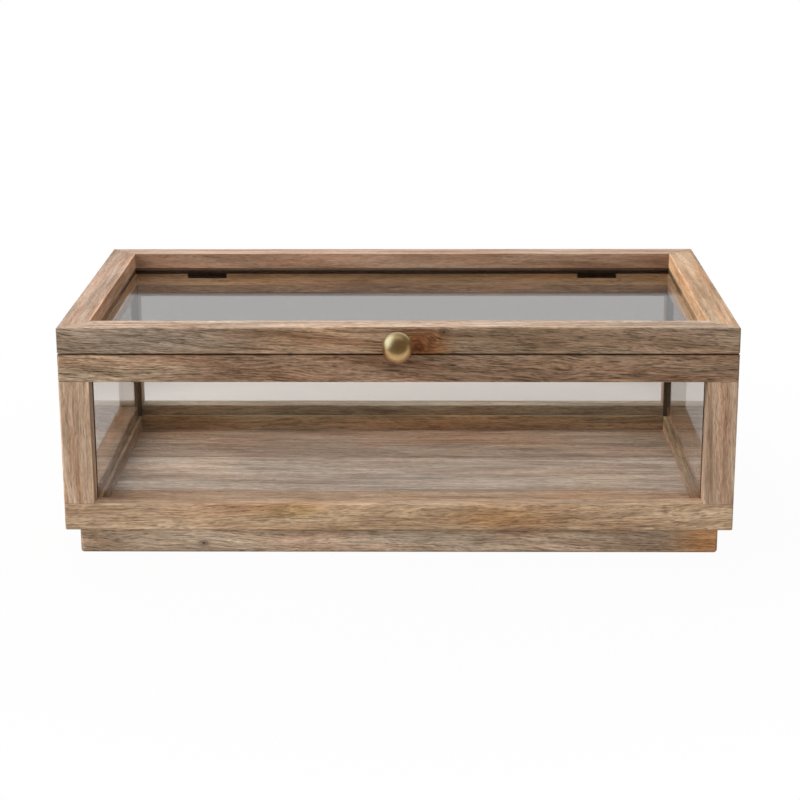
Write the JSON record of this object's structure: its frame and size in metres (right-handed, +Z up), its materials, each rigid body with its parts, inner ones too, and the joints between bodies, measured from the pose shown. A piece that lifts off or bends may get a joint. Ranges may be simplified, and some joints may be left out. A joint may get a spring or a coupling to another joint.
{
  "type": "tabletop display case",
  "caption": "Glazed wooden tabletop display case on a recessed base board, with a glazed lid on two butt hinges and a ball knob.",
  "frame": {"origin": "middle of the base board's underside, on the table", "axes": "+X to the right along the front, +Y from the knob to the hinges, +Z up"},
  "size_m": [0.4, 0.2544, 0.142],
  "materials": {
    "frame_wood": "matt oiled hardwood with fine open pores",
    "lid_wood": "matt oiled hardwood with fine open pores",
    "base_wood": "matt oiled hardwood, glued from boards",
    "bead_wood": "matt oiled hardwood",
    "glass": "clear float glass",
    "hinge_metal": "dark bronzed steel",
    "steel": "plain zinc-plated steel",
    "brass": "satin brass"
  },
  "bodies": {
    "case": {"base_board": "base_wood", "bottom_front_rail": "frame_wood", "bottom_back_rail": "frame_wood", "bottom_left_rail": "frame_wood", "bottom_right_rail": "frame_wood", "post_front_left": "frame_wood", "post_front_right": "frame_wood", "post_back_left": "frame_wood", "post_back_right": "frame_wood", "top_front_rail": "frame_wood", "top_back_rail": "frame_wood", "top_left_rail": "frame_wood", "top_right_rail": "frame_wood", "front_pane": "glass", "back_pane": "glass", "left_pane": "glass", "right_pane": "glass", "bead_bottom_front": "bead_wood", "bead_bottom_back": "bead_wood", "bead_bottom_left": "bead_wood", "bead_bottom_right": "bead_wood", "bead_top_front": "bead_wood", "bead_top_back": "bead_wood", "bead_top_left": "bead_wood", "bead_top_right": "bead_wood", "bead_corner_front_left": "bead_wood", "bead_corner_front_right": "bead_wood", "bead_corner_back_left": "bead_wood", "bead_corner_back_right": "bead_wood", "hinge_left_case_leaf": "hinge_metal", "hinge_right_case_leaf": "hinge_metal", "hinge_left_pin": "steel", "hinge_right_pin": "steel", "hinge_case_screws": "steel"},
    "lid": {"lid_front_rail": "lid_wood", "lid_back_rail": "lid_wood", "lid_left_rail": "lid_wood", "lid_right_rail": "lid_wood", "lid_pane": "glass", "hinge_left_lid_leaf": "hinge_metal", "hinge_right_lid_leaf": "hinge_metal", "hinge_lid_screws": "steel", "knob": "brass", "knob_stud": "steel"}
  },
  "joints": [
    {"name": "lid_hinge", "type": "hinge", "parent": "case", "child": "lid", "pos_m": [0, 0.1169, 0.1246], "axis": [-1, 0, 0], "range_deg": [0, 190]}
  ]
}
